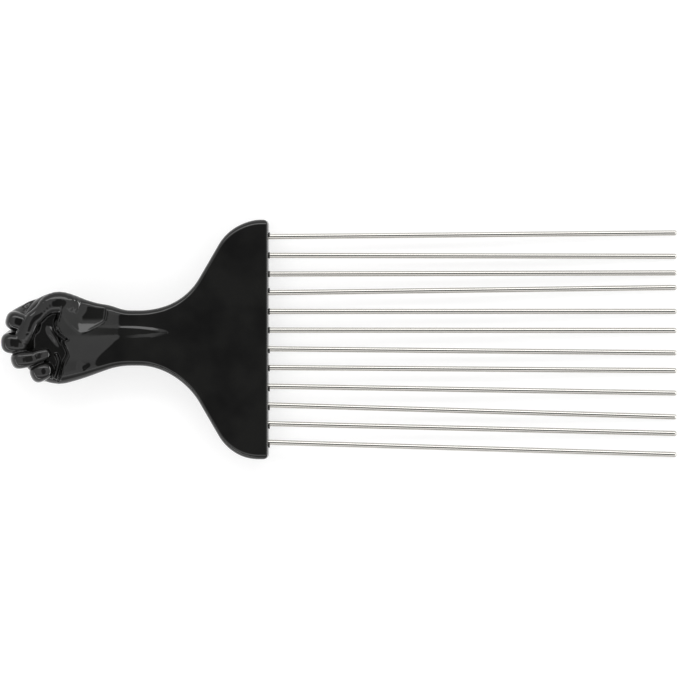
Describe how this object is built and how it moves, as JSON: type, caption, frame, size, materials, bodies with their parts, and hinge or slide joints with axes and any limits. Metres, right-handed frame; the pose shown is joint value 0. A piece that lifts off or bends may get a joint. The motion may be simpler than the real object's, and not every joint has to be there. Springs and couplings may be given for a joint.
{
  "type": "afro pick",
  "caption": "Long-toothed metal pick comb for lifting curly hair: straight round wire tines set in a flat flared head, with a moulded raised-fist handle.",
  "frame": {"origin": "on the flat back face of the head, on the comb's centre line, 9 mm behind the head's front edge", "axes": "+X along the tines to their tips, +Y across the head towards the thumb's side of the fist, +Z out of the front face, on the side of the curled fingers"},
  "size_m": [0.1749, 0.062, 0.0148],
  "materials": {
    "moulded_plastic": "glossy black injection moulding",
    "steel_wire": "bright drawn and plated steel wire"
  },
  "bodies": {
    "root": {"handle": "moulded_plastic", "tine_01": "steel_wire", "tine_02": "steel_wire", "tine_03": "steel_wire", "tine_04": "steel_wire", "tine_05": "steel_wire", "tine_06": "steel_wire", "tine_07": "steel_wire", "tine_08": "steel_wire", "tine_09": "steel_wire", "tine_10": "steel_wire", "tine_11": "steel_wire", "tine_12": "steel_wire"}
  },
  "joints": []
}
